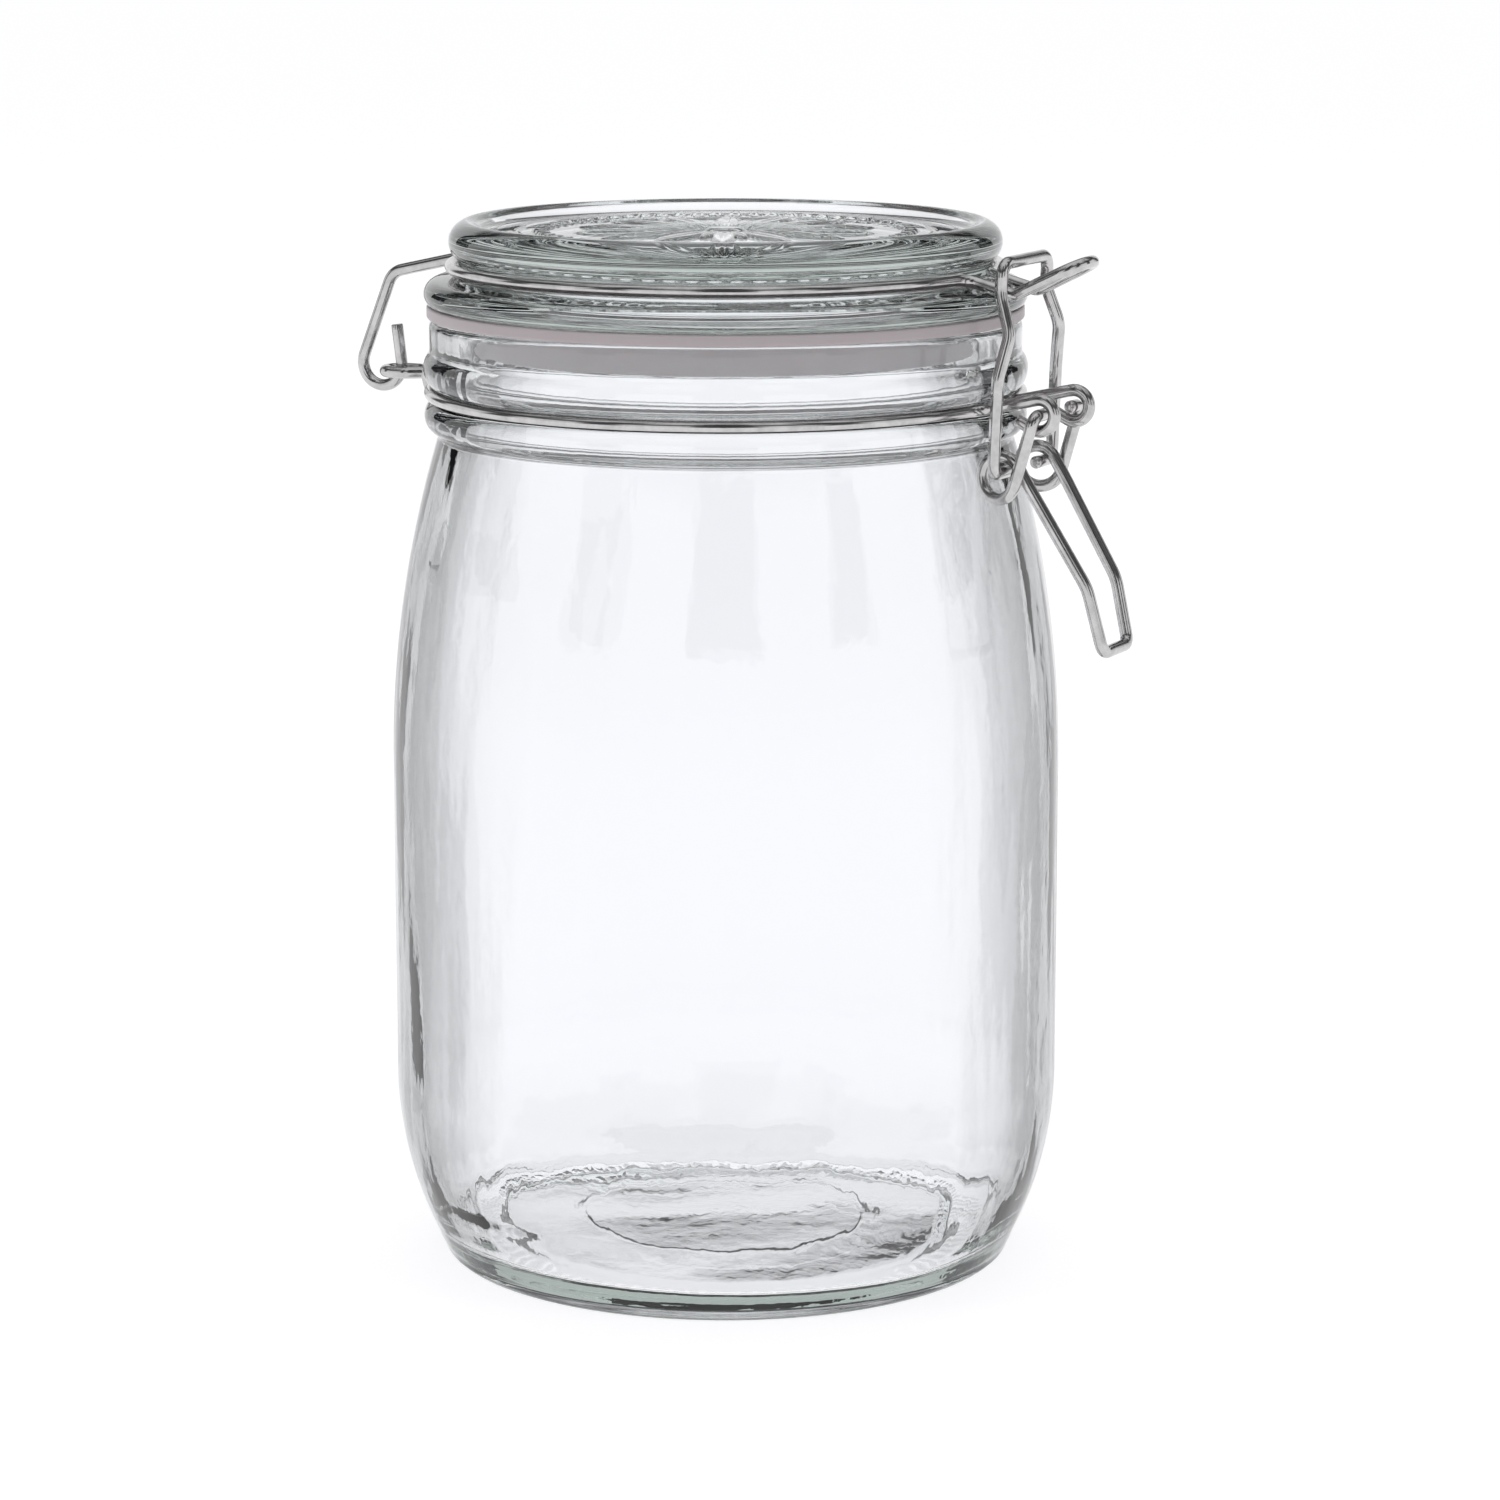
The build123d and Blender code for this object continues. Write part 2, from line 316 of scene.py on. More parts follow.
def add_noise(tree, vector, scale, detail=3.0, rough=0.5):
    """A noise texture read at a vector."""
    noise = tree.nodes.new("ShaderNodeTexNoise")
    noise.inputs["Scale"].default_value = scale
    noise.inputs["Detail"].default_value = detail
    noise.inputs["Roughness"].default_value = rough
    tree.links.new(vector, noise.inputs["Vector"])
    return noise.outputs["Fac"]


def stretched(tree, output, scale):
    """A texture coordinate scaled along each axis."""
    mapping = tree.nodes.new("ShaderNodeMapping")
    mapping.inputs["Scale"].default_value = scale
    tree.links.new(output, mapping.inputs["Vector"])
    return mapping.outputs["Vector"]


def add_bump(tree, shader, heights):
    """Bumps chained one on another: heights is a list of (output, strength, distance), and a
    strength is a number or an output."""
    normal = None
    for height, strength, distance in heights:
        bump = tree.nodes.new("ShaderNodeBump")
        if isinstance(strength, float):
            bump.inputs["Strength"].default_value = strength
        else:
            tree.links.new(strength, bump.inputs["Strength"])
        bump.inputs["Distance"].default_value = distance
        tree.links.new(height, bump.inputs["Height"])
        if normal:
            tree.links.new(normal, bump.inputs["Normal"])
        normal = bump.outputs["Normal"]
    tree.links.new(normal, shader.inputs["Normal"])


def between(tree, factor, low, high, start=0.0, end=1.0):
    """A value that runs from low to high while a factor runs from start to end."""
    ramp = tree.nodes.new("ShaderNodeMapRange")
    ramp.inputs["From Min"].default_value = start
    ramp.inputs["From Max"].default_value = end
    ramp.inputs["To Min"].default_value = low
    ramp.inputs["To Max"].default_value = high
    tree.links.new(factor, ramp.inputs["Value"])
    return ramp.outputs["Result"]


def add_ramp(tree, factor, low, high, start=0.0, end=1.0):
    """A colour ramp between two colours: its node, read at a factor."""
    ramp = tree.nodes.new("ShaderNodeValToRGB")
    ramp.color_ramp.elements[0].position = start
    ramp.color_ramp.elements[0].color = low
    ramp.color_ramp.elements[1].position = end
    ramp.color_ramp.elements[1].color = high
    tree.links.new(factor, ramp.inputs["Fac"])
    return ramp


def glass_material(name, wave, start, edge, density):
    """Clear pressed glass. It greys with depth by its density. Its upright walls carry painted
    shade: their colour greys from start on toward where they are seen edge on, down to the tone
    edge, standing in for the darker surroundings seen in edge-on glass. The mould leaves soft
    ripples of strength wave, fainter on level surfaces."""
    material, tree, shader = new_material(name)
    facing = tree.nodes.new("ShaderNodeLayerWeight")
    facing.inputs["Blend"].default_value = 0.5
    upright = tree.nodes.new("ShaderNodeSeparateXYZ")
    normal = tree.nodes.new("ShaderNodeNewGeometry").outputs["Normal"]
    tree.links.new(normal, upright.inputs["Vector"])
    level = tree.nodes.new("ShaderNodeMath")
    level.operation = "ABSOLUTE"
    tree.links.new(upright.outputs["Z"], level.inputs[0])
    wall = between(tree, level.outputs["Value"], 1.0, 0.0, *WALL_TO_LEVEL)
    # Painted shade: how far an upright wall is turned edge on, which greys the glass colour below
    painted_edge_shade = tree.nodes.new("ShaderNodeMath")
    painted_edge_shade.operation = "MULTIPLY"
    tree.links.new(facing.outputs["Facing"], painted_edge_shade.inputs[0])
    tree.links.new(wall, painted_edge_shade.inputs[1])
    edge_shade_colour = (edge * 0.98, edge, edge, 1)
    tone = add_ramp(tree, painted_edge_shade.outputs["Value"], CLEAR, edge_shade_colour, start, EDGE_ON)
    tone.color_ramp.interpolation = "EASE"
    tree.links.new(tone.outputs["Color"], shader.inputs["Base Color"])
    shader.inputs["Transmission Weight"].default_value = 1.0
    shader.inputs["IOR"].default_value = GLASS_IOR
    shader.inputs["Roughness"].default_value = 0.0
    place = tree.nodes.new("ShaderNodeTexCoord").outputs["Object"]
    drawn = add_noise(tree, stretched(tree, place, (90, 90, 14)), 1.0, 2.0)
    dimpled = add_noise(tree, stretched(tree, place, (330, 330, 240)), 1.0, 2.0)
    drawn_strength = between(tree, wall, wave / 5, wave)
    add_bump(tree, shader, [(drawn, drawn_strength, 0.0012), (dimpled, wave * 0.6, 0.0002)])
    depth = tree.nodes.new("ShaderNodeVolumeAbsorption")
    depth.inputs["Color"].default_value = GLASS_DEPTH
    depth.inputs["Density"].default_value = density
    tree.links.new(depth.outputs["Volume"], tree.nodes["Material Output"].inputs["Volume"])
    return material


def rubber_material():
    """Pale natural rubber, faintly mottled and slightly see-through, with painted shade on its
    outer edge, which sits recessed between jar and lid.
    """
    material, tree, shader = new_material("gasket_rubber")
    place = tree.nodes.new("ShaderNodeTexCoord").outputs["Object"]
    mottle = add_noise(tree, stretched(tree, place, (120, 120, 300)), 1.0, 5.0, 0.6)
    ramp = add_ramp(tree, mottle, RUBBER_DARK, RUBBER_PALE)
    across = tree.nodes.new("ShaderNodeVectorMath")
    across.operation = "LENGTH"
    tree.links.new(stretched(tree, place, (1, 1, 0)), across.inputs[0])
    # Painted shade: the outer edge, set back between the glass of jar and lid, is darkened in the
    # colour
    recess_shade = between(tree, across.outputs["Value"], 0.0, 1.0, RECESS_SHADE_FROM, RECESS_SHADE_TO)
    shaded_outer_ring = tree.nodes.new("ShaderNodeMix")
    shaded_outer_ring.data_type = "RGBA"
    shaded_outer_ring.blend_type = "MULTIPLY"
    shaded_outer_ring.inputs[7].default_value = RUBBER_RECESS_SHADE
    tree.links.new(recess_shade, shaded_outer_ring.inputs["Factor"])
    tree.links.new(ramp.outputs["Color"], shaded_outer_ring.inputs[6])
    tree.links.new(shaded_outer_ring.outputs[2], shader.inputs["Base Color"])
    shader.inputs["Transmission Weight"].default_value = 0.1
    shader.inputs["Subsurface Weight"].default_value = 0.35
    shader.inputs["Subsurface Scale"].default_value = 0.002
    shader.inputs["Subsurface Radius"].default_value = (1.0, 0.7, 0.6)
    tree.links.new(between(tree, mottle, 0.38, 0.55), shader.inputs["Roughness"])
    grain = add_noise(tree, stretched(tree, place, (900, 900, 900)), 1.0, 4.0)
    add_bump(tree, shader, [(grain, 0.25, 0.0002)])
    return material


def wire_material():
    """Bright drawn steel: die lines along the wire, small scuffs and dull spots."""
    material, tree, shader = new_material("bright_wire")
    shader.inputs["Metallic"].default_value = 1.0
    along = tree.nodes.new("ShaderNodeUVMap").outputs["UV"]
    place = tree.nodes.new("ShaderNodeTexCoord").outputs["Object"]
    lines = add_noise(tree, stretched(tree, along, (0.6, 22, 1)), 1.0, 4.0, 0.6)
    scuffs = add_noise(tree, stretched(tree, place, (330, 330, 330)), 1.0, 6.0, 0.7)
    tint = add_ramp(tree, scuffs, STEEL_DULL, STEEL_BRIGHT, 0.25, 0.6)
    tree.links.new(tint.outputs["Color"], shader.inputs["Base Color"])
    tree.links.new(between(tree, scuffs, 0.20, 0.12), shader.inputs["Roughness"])
    add_bump(tree, shader, [(lines, 0.03, 0.0002), (scuffs, 0.02, 0.0002)])
    return material


# The second and third numbers set where the painted edge shade starts and the grey it ends at
JAR_GLASS = glass_material("jar_glass", 0.3, 0.26, 0.22, 30.0)
LID_GLASS = glass_material("lid_glass", 0.05, 0.32, 0.7, 24.0)
RUBBER = rubber_material()
WIRE = wire_material()


def fit(piece, body, node, material):
    """Puts a finished piece on its body in place of its CAD node."""
    piece.data.materials.append(material)
    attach(piece, body)
    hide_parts(node)


# ---------------------------------------------------------------- glass jar

WALL = 3.7
FOOT_R = 46.0
MOUTH_R = 43.4
NECK_R = 48.3
GROOVE_R = 47.0
NECK_WIRE_Z = HINGE[1]
FLOOR_Z = 5.8
RIM_EDGE = 1.5
# Mould marks: the outside is set in, so that its raised marks stay inside the CAD's surface
INSET = 0.13
SEAM_RISE = 0.12
SEAM_ANGLE = radians(-79)
SHOULDER_SEAM_Z = 129.5
KNURLS = 96
KNURL_R = 41.6
BASE_RING_R = 24.5
BASE_FLAT_R = 35
# The inside floor: where the wall takes over, the ridge round it, and its wedge and thick side
FLOOR_TOP_Z = 12
FLOOR_RIDGE_R = 45.2
WEDGE = 0.9
THICK_SIDE = radians(117)


def bumps_near(value, centre, width):
    """A smooth bump, 1 at a centre and 0 a width away."""
    return np.clip(1 - np.abs(value - centre) / width, 0, 1) ** 2


def seam(r, t, width):
    """The ridge that the two halves of the mould leave, on opposite sides."""
    return SEAM_RISE * bumps_near(np.abs((t - SEAM_ANGLE + pi / 2) % pi - pi / 2) * r, 0, width)


def wall_waves(z, t):
    """The uneven inside of a pressed wall, which fades out toward the floor and the mouth."""
    waves = 0.17 * np.sin(3 * t + 0.03 * z) + 0.13 * np.sin(7 * t + 1.3 - 0.02 * z)
    waves += 0.07 * np.sin(17 * t + 0.4 + 0.05 * z) + 0.04 * np.sin(29 * t - 0.06 * z)
    return waves * (np.clip((z - 9) / 14, 0, 1) * np.clip((RIM_Z - 18 - z) / 12, 0, 1))


def floor_lift(r, z, t):
    """How the inside floor departs from its outline: settled glass, a wedge and a ridge."""
    x, y = r * np.cos(t), r * np.sin(t)
    settled = 0.1 * np.sin(0.115 * x + 0.9) * np.cos(0.13 * y) + 0.02 * np.sin(0.27 * (x - y) + 2.0)
    lobes = 0.4 * np.sin(3 * t + 0.5) + 0.2 * np.sin(5 * t)
    settled += lobes * np.clip((r - 26) / 14, 0, 1)
    wedge = WEDGE * np.cos(t - THICK_SIDE) * r / 45
    ridge = (0.2 + 0.1 * np.sin(150 * t)) * bumps_near(r, FLOOR_RIDGE_R, 1.1)
    return settled * np.clip(r / 6, 0, 1) + (wedge + ridge) * np.clip((FLOOR_TOP_Z - z) / 5, 0, 1)


def base_lift(r, t):
    """How the raised base departs from flat: a ring and faint waves."""
    x, y = r * np.cos(t), r * np.sin(t)
    ring = 0.2 * bumps_near(r, BASE_RING_R, 0.55)
    ring = ring + 0.06 * np.sin(0.16 * x - 1.0) * np.cos(0.14 * y + 0.5)
    return ring * np.clip(r / 6, 0, 1) * np.clip((BASE_FLAT_R - r) / 5, 0, 1)


def jar_shape(r, z, t):
    """Mould marks of the jar: foot ribs, shoulder seam, side seams, uneven wall and floor."""
    outside = (np.arange(len(r)) < OUTER_ROWS)[:, None]
    side = seam(r, t, 0.7) * (z > 20) * (z < 151)
    shoulder = 0.09 * bumps_near(z, SHOULDER_SEAM_Z, 0.8) * (0.6 + 0.4 * np.sin(t * KNURLS))
    marks = (side + shoulder - INSET) * outside * (r > 40) * (z > 3)
    knurls = 0.045 * np.clip(np.sin(t * KNURLS), 0, 1) * outside
    knurls = knurls * bumps_near(r, KNURL_R, 1.7) * (z < 2.5)
    wall = ~outside & (r > 44.0) & (z > 9)
    floor = ~outside & (z < FLOOR_TOP_Z)
    under = outside & (r < BASE_FLAT_R) & (z < 3)
    lift = np.where(floor, floor_lift(r, z, t), 0) + knurls + np.where(under, base_lift(r, t), 0)
    return r + np.where(wall, wall_waves(z, t), 0) + marks, z + lift


outer = outline(
    (0, 2.0),
    ((36.3, 2.0), 74),
    ((38.2, 1.45), (39.5, 0.1), 5),
    ((39.9, 0.0), 1),
    ((45.8, 0.0), 12),
    ((47.0, 0.45), (FOOT_R + 1.5, 1.5), 5),
    ((52.55, 13.7), (BODY_R, 30.3), 36),
    ((BODY_R, 82.7), 26),
    ((BODY_R - 2.01, 109.8), (46.87, 136.8), 62),
    ((49.2, 139.35), (48.0, NECK_WIRE_Z - 1.2), 14),
    ((GROOVE_R, NECK_WIRE_Z - 1.0), 2),
    ((GROOVE_R, NECK_WIRE_Z + 1.0), 2),
    ((48.2, NECK_WIRE_Z + 1.2), 2),
    ((49.3, 146.9), (NECK_R, 149.9), 14),
    ((NECK_R, 154.0), 4),
    ((47.9, 155.05), (46.9, RIM_Z), 6),
    ((MOUTH_R + RIM_EDGE, RIM_Z), 4),
)
OUTER_ROWS = len(outer)
inner = outline(
    (MOUTH_R + RIM_EDGE, RIM_Z),
    ((MOUTH_R + 0.44, RIM_Z - 0.44), (MOUTH_R, RIM_Z - RIM_EDGE), 6),
    ((MOUTH_R, 139.7), 10),
    ((44.9, 129.7), (47.9, 115.2), 16),
    ((50.2, 99.2), (BODY_R - WALL, 81.7), 20),
    ((BODY_R - WALL, 30.3), 26),
    ((49.9, 15.6), (46.1, 7.0), 22),
    ((45.7, 6.3), (45.0, 6.0), 6),
    ((44.2, 5.9), 4),
    ((39.0, 5.3), 10),
    ((19.5, 5.6), (0, FLOOR_Z), 60),
)[1:]
jar = revolve("jar_glass", np.concatenate([outer, inner]), jar_shape)
fit(jar, "jar", "jar_body", JAR_GLASS)


# ---------------------------------------------------------------- glass lid

LID_WIRE_R = 44.5
LID_WIRE_Z = 163.7
BORE_R = 39.0
PLUG_R = BORE_R - 0.1
CROWN_R = 45.0
LID_FACE_Z = LID_TOP_Z - 1.9
BOSS_R = 3.2
BEADS = 60
BEAD_R = 1.15
BEAD_RING_R = 30
OUTER_RING_R = 33.8
PETALS = 14
# A petal's middle radius, half length and half width
LONG_PETAL = (15.0, 10.0, 1.9)
SHORT_PETAL = (10.5, 5.5, 1.0)


def dome(u, v):
    """A rounded boss over the unit circle, in its own coordinates."""
    return np.clip(1.5 * np.sqrt(np.clip(1 - u**2 - v**2, 0, 1)), 0, 1)


def ornament(x, y):
    """The lid's raised decoration: a rosette of petals inside a ring of beads."""
    height = 0.55 * dome(x / BOSS_R, y / BOSS_R)
    for i in range(BEADS):
        a = 2 * pi * i / BEADS
        bead = dome((x - BEAD_RING_R * cos(a)) / BEAD_R, (y - BEAD_RING_R * sin(a)) / BEAD_R)
        height = np.maximum(height, 0.5 * bead)
    for i in range(2 * PETALS):
        a = pi * i / PETALS
        middle, length, width = LONG_PETAL if i % 2 else SHORT_PETAL
        u = (x * cos(a) + y * sin(a) - middle) / length
        v = (y * cos(a) - x * sin(a)) / width
        petal = dome(u, v) * (1 - 0.4 * np.exp(-((v / 0.2) ** 2)))
        height = np.maximum(height, 0.55 * petal)
    return np.maximum(height, 0.3 * bumps_near(np.hypot(x, y), OUTER_RING_R, 0.6))


def lid_shape(r, z, t):
    """The lid's raised decoration, its side seam and uneven under side."""
    top = (np.abs(z - LID_FACE_Z) < 0.02) & (r < 36)
    raised = ornament(r * np.cos(t), r * np.sin(t))
    side = (seam(r, t, 0.6) - INSET) * (r > 42)
    sag = 0.14 * np.sin(2 * t + 0.1 * r) + 0.1 * np.sin(5 * t + 0.2 * r)
    return r + side, z + np.where(top, raised, 0) + sag * (r < 30) * (z < LID_FACE_Z - 2) * (r / 30)


lid_outline = outline(
    (0, 164.3),
    ((15.4, 162.97), (30.0, 159.14), 22),
    ((33.0, PLUG_Z + 1.0), 10),
    ((35.6, PLUG_Z), (38.0, PLUG_Z + 1.0), 10),
    ((PLUG_R, 152.7), 3),
    ((PLUG_R, GASKET_Z1 + 0.02), 4),
    ((48.2, GASKET_Z1 + 0.02), 6),
    ((FLANGE_R, 159.5), (47.2, 161.6), 18),
    ((LID_WIRE_R - 0.9, LID_WIRE_Z - 1.5), 4),
    ((LID_WIRE_R - 1.12, LID_WIRE_Z - 1.2), 1),
    ((LID_WIRE_R - 1.12, LID_WIRE_Z + 1.1), 3),
    ((CROWN_R, 167.7), (43.2, 170.7), 20),
    ((41.8, LID_TOP_Z), (40.6, 170.65), 6),
    ((39.4, 169.7), (37.4, LID_FACE_Z), 7),
    ((0, LID_FACE_Z), 120),
)
lid = revolve("lid_glass", lid_outline, lid_shape)
fit(lid, "lid", "glass_lid", LID_GLASS)


# ---------------------------------------------------------------- gasket

RING_Z = GASKET_Z1 - 1.95
SOFT = 0.35
gasket_outline = outline(
    (BORE_R, SKIRT_Z + SOFT),
    ((BORE_R, GASKET_Z1), 8),
    ((GASKET_R - SOFT, GASKET_Z1), 12),
    ((GASKET_R - 0.1, GASKET_Z1 - 0.1), (GASKET_R, GASKET_Z1 - SOFT), 4),
    ((GASKET_R, RING_Z + SOFT), 4),
    ((GASKET_R - 0.1, RING_Z + 0.1), (GASKET_R - SOFT, RING_Z), 4),
    ((41.6, RING_Z), 8),
    ((41.35, RING_Z - 0.1), (41.25, RING_Z - 0.4), 4),
    ((40.35, SKIRT_Z + 0.25), 8),
    ((40.2, SKIRT_Z + 0.06), (39.95, SKIRT_Z), 3),
    ((BORE_R + SOFT, SKIRT_Z), 2),
    ((BORE_R + 0.1, SKIRT_Z + 0.1), (BORE_R + 0.02, SKIRT_Z + SOFT - 0.05), 4),
)
gasket = revolve("gasket_ring", gasket_outline)
fit(gasket, "lid", "gasket", RUBBER)


# ---------------------------------------------------------------- wires

NECK_WIRE_R = 48.1
HOOK_R = 2.5
HOOK_Y = 7.0
HOOK_TAIL = 2.8
STRAND_Y = 1.05
EYE_Y = 2.7
CLASP_X = -54.3
CLASP_R = 3.3


def front_hook(side):
    """The neck wire's front hook, from its cut end to the groove."""
    y = side * HOOK_Y
    out = groove_exit(NECK_WIRE_R, NECK_WIRE_Z, side * 16, y)
    top = tangent_angle(LEVER_PIVOT, HOOK_R, (out.x, out.z), -1)
    curl = upright_arc(LEVER_PIVOT, HOOK_R, -120, top, y)
    cut = curl[0] - (curl[1] - curl[0]).normalized() * HOOK_TAIL
    start = groove_arc(NECK_WIRE_R, NECK_WIRE_Z, side * 16, side * 18)[0]
    return [cut] + curl + bent([curl[-1], out, start], [3.0])[1:]


rear = groove_arc(NECK_WIRE_R, NECK_WIRE_Z, -16, -166)
eye = bent(
    [
        rear[-1],
        groove_exit(NECK_WIRE_R, NECK_WIRE_Z, -166, -STRAND_Y),
        (CLASP_X - 2.0, -STRAND_Y, NECK_WIRE_Z),
        (CLASP_X - 4.6, -EYE_Y, NECK_WIRE_Z),
        (HINGE[0], -EYE_Y, NECK_WIRE_Z),
        (HINGE[0], EYE_Y, NECK_WIRE_Z),
        (CLASP_X - 4.6, EYE_Y, NECK_WIRE_Z),
        (CLASP_X - 2.0, STRAND_Y, NECK_WIRE_Z),
        (CLASP_X + 3.0, STRAND_Y, NECK_WIRE_Z),
    ],
    [2.5, 2.0, 2.0, 2.6, 2.6, 2.0, 2.0],
)
near_wire = tube("neck_wire_near_bent", front_hook(-1) + rear[1:] + eye[1:], WIRE_R)
fit(near_wire, "jar", "neck_wire_near", WIRE)

rear = groove_arc(NECK_WIRE_R, NECK_WIRE_Z, 16, 160)
approach = bent(
    [
        rear[-1],
        groove_exit(NECK_WIRE_R, NECK_WIRE_Z, 160, 10.5),
        (CLASP_X, 6.0, NECK_WIRE_Z + CLASP_R),
        (CLASP_X, 0, NECK_WIRE_Z + CLASP_R),
    ],
    [3.0, 3.0],
)
clasp = [
    Vector((CLASP_X, -CLASP_R * sin(radians(a)), NECK_WIRE_Z + CLASP_R * cos(radians(a))))
    for a in range(0, 261, 10)
]
far_wire = tube("neck_wire_far_bent", front_hook(1) + rear[1:] + approach[1:] + clasp[1:], WIRE_R)
fit(far_wire, "jar", "neck_wire_far", WIRE)

TONGUE_ROOT = (53.0, 161.5)
TONGUE_TIP = (63.8, 166.8)
TONGUE_Y = 4.2
ROOT_Y = 4.8
HINGE_HOOK_R = 3.75
HINGE_HOOK_CENTRE = (HINGE[0] - 1.0, HINGE[1] + 1.1)
HINGE_CORNER = (-62.8, 159.9)
HINGE_PIN_Z = 151.1


def tongue_half(side):
    """The lid wire from the tip of its tongue to the start of the groove, on one side."""
    return bent(
        [
            (TONGUE_TIP[0], 0, TONGUE_TIP[1]),
            (TONGUE_TIP[0], side * TONGUE_Y, TONGUE_TIP[1]),
            (TONGUE_ROOT[0], side * ROOT_Y, TONGUE_ROOT[1]),
            groove_exit(LID_WIRE_R, LID_WIRE_Z, side * 13, side * ROOT_Y),
            groove_arc(LID_WIRE_R, LID_WIRE_Z, side * 13, side * 16)[0],
        ],
        [3.9, 2.5, 3.0],
    )


meet = tangent_angle(HINGE_HOOK_CENTRE, HINGE_HOOK_R, HINGE_CORNER, 1)
hook = upright_arc(HINGE_HOOK_CENTRE, HINGE_HOOK_R, meet, 371.5, 0)
near_groove = groove_arc(LID_WIRE_R, LID_WIRE_Z, -13, -167)
arm = bent(
    [
        near_groove[-1],
        groove_exit(LID_WIRE_R, LID_WIRE_Z, -167, 0),
        (HINGE_CORNER[0], 0, HINGE_CORNER[1]),
        hook[0],
    ],
    [3.0, 3.5],
)
pin_way = (hook[-1] - hook[-2]).normalized()
pin_end = hook[-1] + pin_way * ((HINGE_PIN_Z - hook[-1].z) / pin_way.z)
far_half = tongue_half(1) + groove_arc(LID_WIRE_R, LID_WIRE_Z, 13, 175)[1:]
near_half = tongue_half(-1) + near_groove[1:] + arm[1:] + hook[1:] + [pin_end]
lid_wire = tube("lid_wire_bent", list(reversed(far_half)) + near_half[1:], WIRE_R)
fit(lid_wire, "lid", "lid_wire", WIRE)

COIL_CENTRE = (52.3, 133.2)
COIL_R = 3.25
ARM_Y = 9.3
COIL_PITCH = 2.2
HANDLE_KINK = (66.6, 116.2)
HANDLE_END = (69.1, 106.0)
HANDLE_Y = 5.15
PIN_END_Y = 5.0
PIN_BEND_R = 1.8
arrive = tangent_angle(COIL_CENTRE, COIL_R, LEVER_PIVOT, -1)
leave = tangent_angle(COIL_CENTRE, COIL_R, HANDLE_KINK, 1)
inner_y = ARM_Y - COIL_PITCH
# Half a turn leans inward by the coil's pitch, and the rest of the turn is upright
lean_r = hypot(COIL_R, COIL_PITCH / 2)
coil = []
for turn in range(0, 181, 9):
    u, v = COIL_R * cos(radians(turn)), lean_r * sin(radians(turn))
    a = radians(arrive)
    x = COIL_CENTRE[0] + u * cos(a) + v * sin(a)
    z = COIL_CENTRE[1] + u * sin(a) - v * cos(a)
    coil.append(Vector((x, COIL_PITCH / 2 * (1 - cos(radians(turn))) - ARM_Y, z)))
coil += upright_arc(COIL_CENTRE, COIL_R, arrive - 180, leave - 360, -inner_y)[1:]
lever_arm = bent(
    [
        (LEVER_PIVOT[0], -PIN_END_Y, LEVER_PIVOT[1]),
        (LEVER_PIVOT[0], -ARM_Y, LEVER_PIVOT[1]),
        coil[0],
    ],
    [PIN_BEND_R],
)
away = Vector((sin(radians(leave)), 0, -cos(radians(leave))))
handle = bent(
    [
        coil[-1],
        coil[-1] + away * 3.5,
        (HANDLE_KINK[0], -(HANDLE_Y + 0.8), HANDLE_KINK[1]),
        (HANDLE_END[0], -HANDLE_Y, HANDLE_END[1]),
        (HANDLE_END[0], 0, HANDLE_END[1]),
    ],
    [40.0, 9.0, 1.8],
)
lever = tube("latch_lever_bent", mirrored(lever_arm + coil[1:] + handle[1:]), WIRE_R)
fit(lever, "lever", "latch_lever", WIRE)

LEG_Y = 11.6
BAR_Y = 8.9
BAR = (52.9, 166.8)
link_half = bent(
    [
        (LINK_PIVOT[0], -PIN_END_Y, LINK_PIVOT[1]),
        (LINK_PIVOT[0], -LEG_Y, LINK_PIVOT[1]),
        (53.4, -LEG_Y + 0.1, 149.1),
        (54.6, -BAR_Y - 0.9, 155.9),
        (52.6, -BAR_Y, 161.9),
        (BAR[0], -BAR_Y, BAR[1]),
        (BAR[0], 0, BAR[1]),
    ],
    [PIN_BEND_R, 6.0, 5.0, 6.0, 2.2],
)
link = tube("latch_link_bent", mirrored(link_half), WIRE_R)
fit(link, "link", "latch_link", WIRE)


# ---------------------------------------------------------------- floor, light and camera

AZIMUTH = radians(27.0)
DISTANCE = 776.0
EYE_Z = 236.7
AIM_Z = 83.5
AIM_RIGHT = 3.95
LENS = 114.8
# Half the floor's side, in metres
FLOOR_HALF = 20.0
# Where the lamps point, in metres
LAMP_AIM = Vector((0, 0, 0.1))
CARD_BOTTOM = 160
CARD_HEIGHT = 1100
CARD_DISTANCE = 560
CARD_WIDTH = 150
FRONT_CARD_WIDTH = 240
SIDE_CARDS = (43, 88, 133, 223, 268, 313)
# The sky's brightness at each height, from level or below (0) to straight up (1)
BANDS = ((0.0, 0.95), (0.36, 0.9), (0.42, 0.10), (0.62, 0.12), (0.78, 0.7), (1.0, 0.85))


def seen_from(azimuth, distance, z):
    """A point at an azimuth round the jar, counted as the camera's is."""
    return Vector((distance * sin(azimuth), -distance * cos(azimuth), z)) * MM


def add_quad(name, corners, material):
    """A flat staging panel from four corners in metres."""
    mesh = bpy.data.meshes.new(name)
    mesh.from_pydata(corners, [], [(0, 1, 2, 3)])
    mesh.materials.append(material)
    panel = bpy.data.objects.new(name, mesh)
    bpy.context.collection.objects.link(panel)
    return panel


def matte(name, colour):
    """A dull material of one colour, and its shader."""
    material, _, shader = new_material(name)
    shader.inputs["Base Color"].default_value = colour
    shader.inputs["Roughness"].default_value = 1.0
    shader.inputs["Specular IOR Level"].default_value = 0.0
    return material, shader


def look(thing, place, target):
    """Puts a camera or light at a place, facing a target."""
    thing.location = place
    thing.rotation_euler = (target - place).to_track_quat("-Z", "Y").to_euler()
    bpy.context.collection.objects.link(thing)


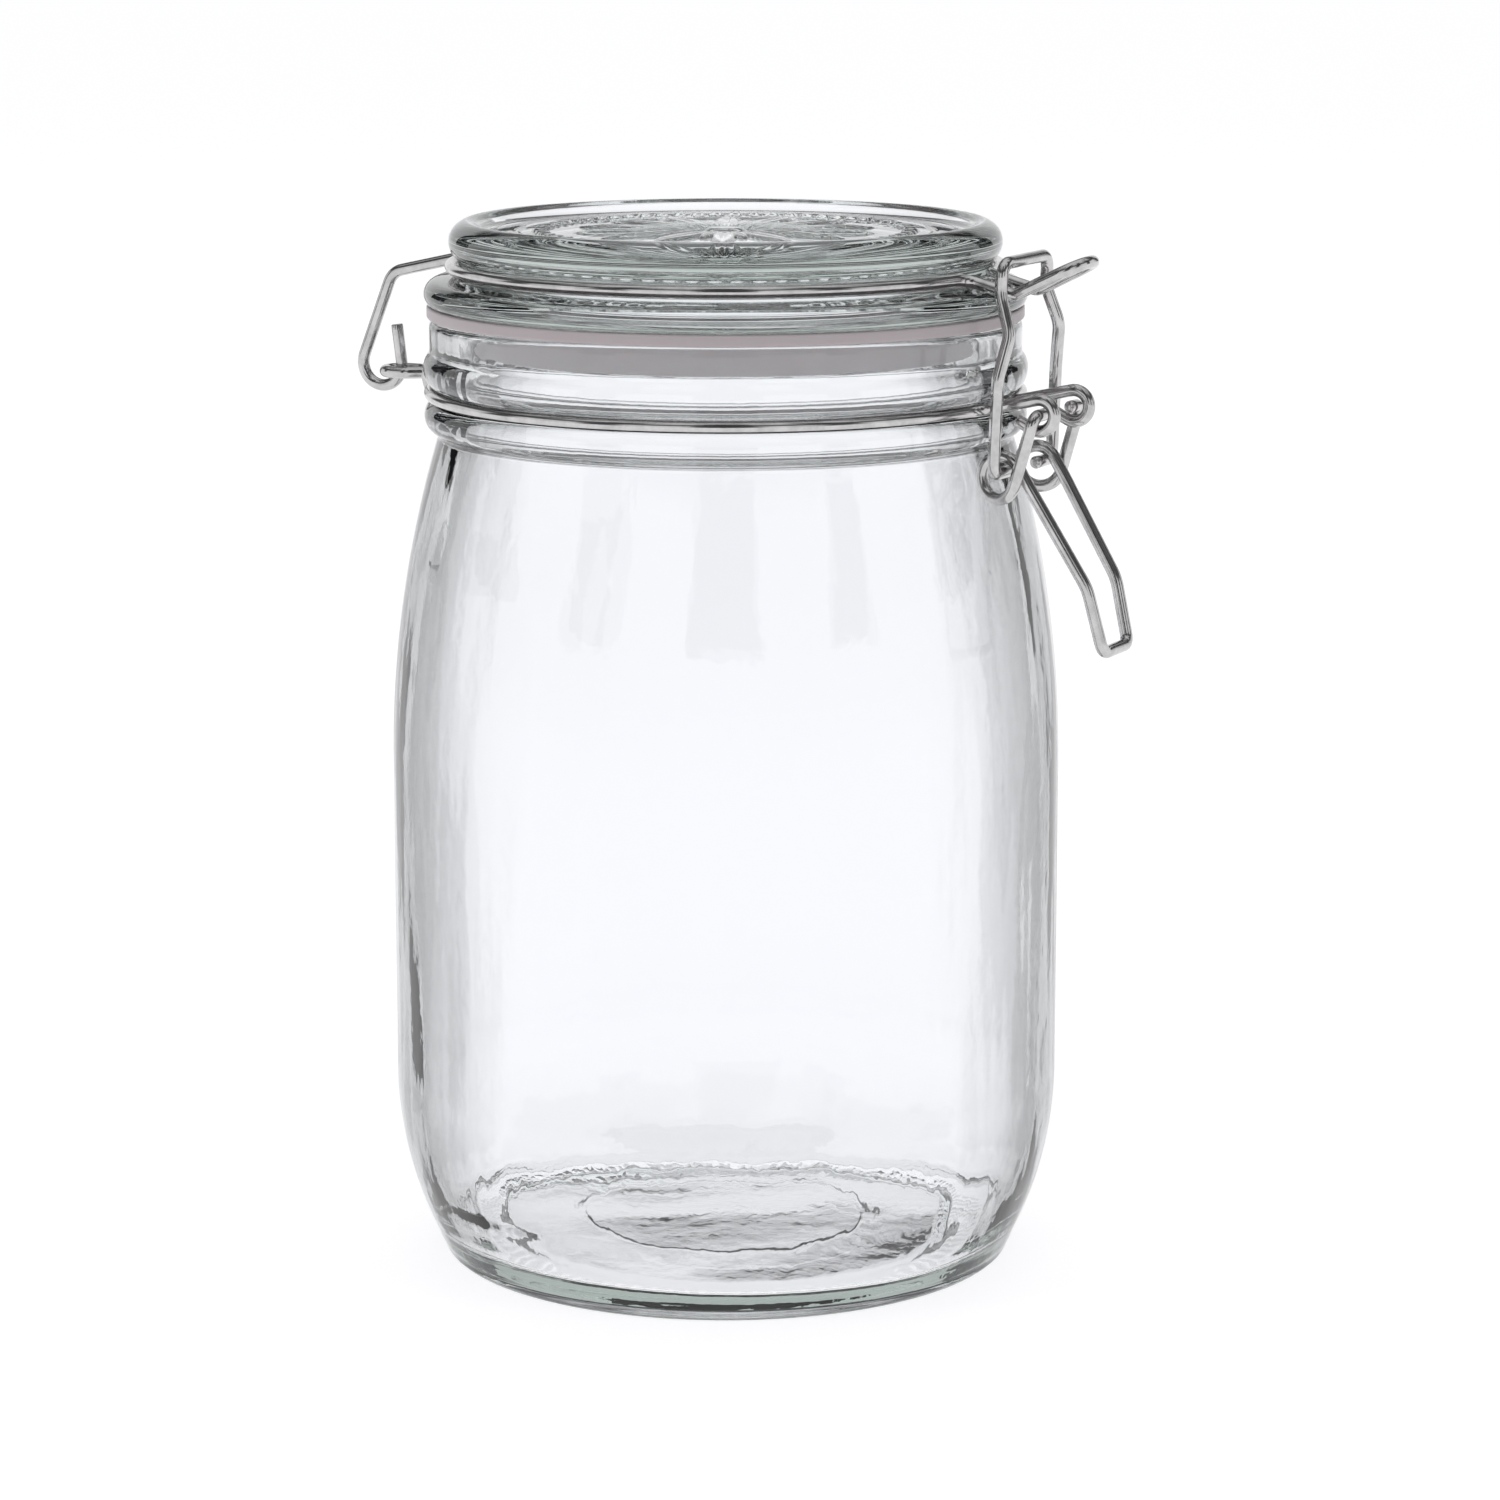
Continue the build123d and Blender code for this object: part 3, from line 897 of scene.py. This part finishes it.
camera = bpy.data.objects.new("camera", bpy.data.cameras.new("camera"))
camera.data.lens = LENS
camera.data.sensor_width = 36.0
camera.data.clip_end = 60.0
aim = Vector((AIM_RIGHT * cos(AZIMUTH), AIM_RIGHT * sin(AZIMUTH), AIM_Z)) * MM
look(camera, seen_from(AZIMUTH, DISTANCE, EYE_Z), aim)
bpy.context.scene.camera = camera

floor_look, floor_shader = matte("pale_floor", (0.28, 0.28, 0.285, 1))
floor_shader.inputs["Emission Color"].default_value = (0.985, 0.985, 1.0, 1)
floor_shader.inputs["Emission Strength"].default_value = 0.85
floor_signs = ((-1, -1), (1, -1), (1, 1), (-1, 1))
floor_corners = [(x * FLOOR_HALF, y * FLOOR_HALF, 0) for x, y in floor_signs]
floor = add_quad("floor", floor_corners, floor_look)


def softbox(name, azimuth, distance, z, width, height, power):
    """A soft area light that faces the jar, and shows neither in the wires nor through glass."""
    light = bpy.data.lights.new(name, "AREA")
    light.shape = "RECTANGLE"
    light.size = width * MM
    light.size_y = height * MM
    light.energy = power
    lamp = bpy.data.objects.new(name, light)
    look(lamp, seen_from(radians(azimuth), distance, z), LAMP_AIM)
    lamp.visible_glossy = lamp.visible_transmission = False


softbox("left_window", -35, 1300, 900, 400, 900, 4)
softbox("right_window", 80, 1300, 1000, 300, 900, 3)
softbox("top_window", 200, 900, 1500, 1400, 900, 5)


def flag(name, azimuth, width, material):
    """A dark upright card out of sight, which shows only in the glass and the wires. Its azimuth
    is counted from the camera's."""
    turn = AZIMUTH + radians(azimuth)
    centre = seen_from(turn, CARD_DISTANCE, CARD_BOTTOM + CARD_HEIGHT / 2)
    right = Vector((cos(turn), sin(turn), 0)) * (width * MM / 2)
    up = Vector((0, 0, CARD_HEIGHT * MM / 2))
    corners = [centre - right - up, centre + right - up, centre + right + up, centre - right + up]
    card = add_quad(name, corners, material)
    card.visible_camera = card.visible_diffuse = card.visible_shadow = False


card_look = matte("dark_card", (0.06, 0.06, 0.065, 1))[0]
flag("card_front", 0, FRONT_CARD_WIDTH, card_look)
for place in SIDE_CARDS:
    flag("card_%d" % place, place, CARD_WIDTH, card_look)

world = bpy.data.worlds.new("studio")
bpy.context.scene.world = world
world.use_nodes = True
studio = world.node_tree
ways = studio.nodes.new("ShaderNodeSeparateXYZ")
direction = studio.nodes.new("ShaderNodeTexCoord").outputs["Generated"]
studio.links.new(direction, ways.inputs["Vector"])
tone = studio.nodes.new("ShaderNodeValToRGB")
while len(tone.color_ramp.elements) < len(BANDS):
    tone.color_ramp.elements.new(0.5)
for stop, (place, level) in zip(tone.color_ramp.elements, BANDS):
    stop.position = place
    stop.color = (level * 0.985, level * 0.99, level, 1)
studio.links.new(ways.outputs["Z"], tone.inputs["Fac"])
room = studio.nodes["Background"]
studio.links.new(tone.outputs["Color"], room.inputs["Color"])
backdrop = studio.nodes.new("ShaderNodeBackground")
backdrop.inputs["Color"].default_value = (1.0, 1.0, 1.0, 1)
backdrop.inputs["Strength"].default_value = 1.1
either = studio.nodes.new("ShaderNodeMixShader")
seen = studio.nodes.new("ShaderNodeLightPath").outputs["Is Camera Ray"]
studio.links.new(seen, either.inputs["Fac"])
studio.links.new(room.outputs["Background"], either.inputs[1])
studio.links.new(backdrop.outputs["Background"], either.inputs[2])
studio.links.new(either.outputs["Shader"], studio.nodes["World Output"].inputs["Surface"])
bpy.context.scene.view_settings.view_transform = "Standard"
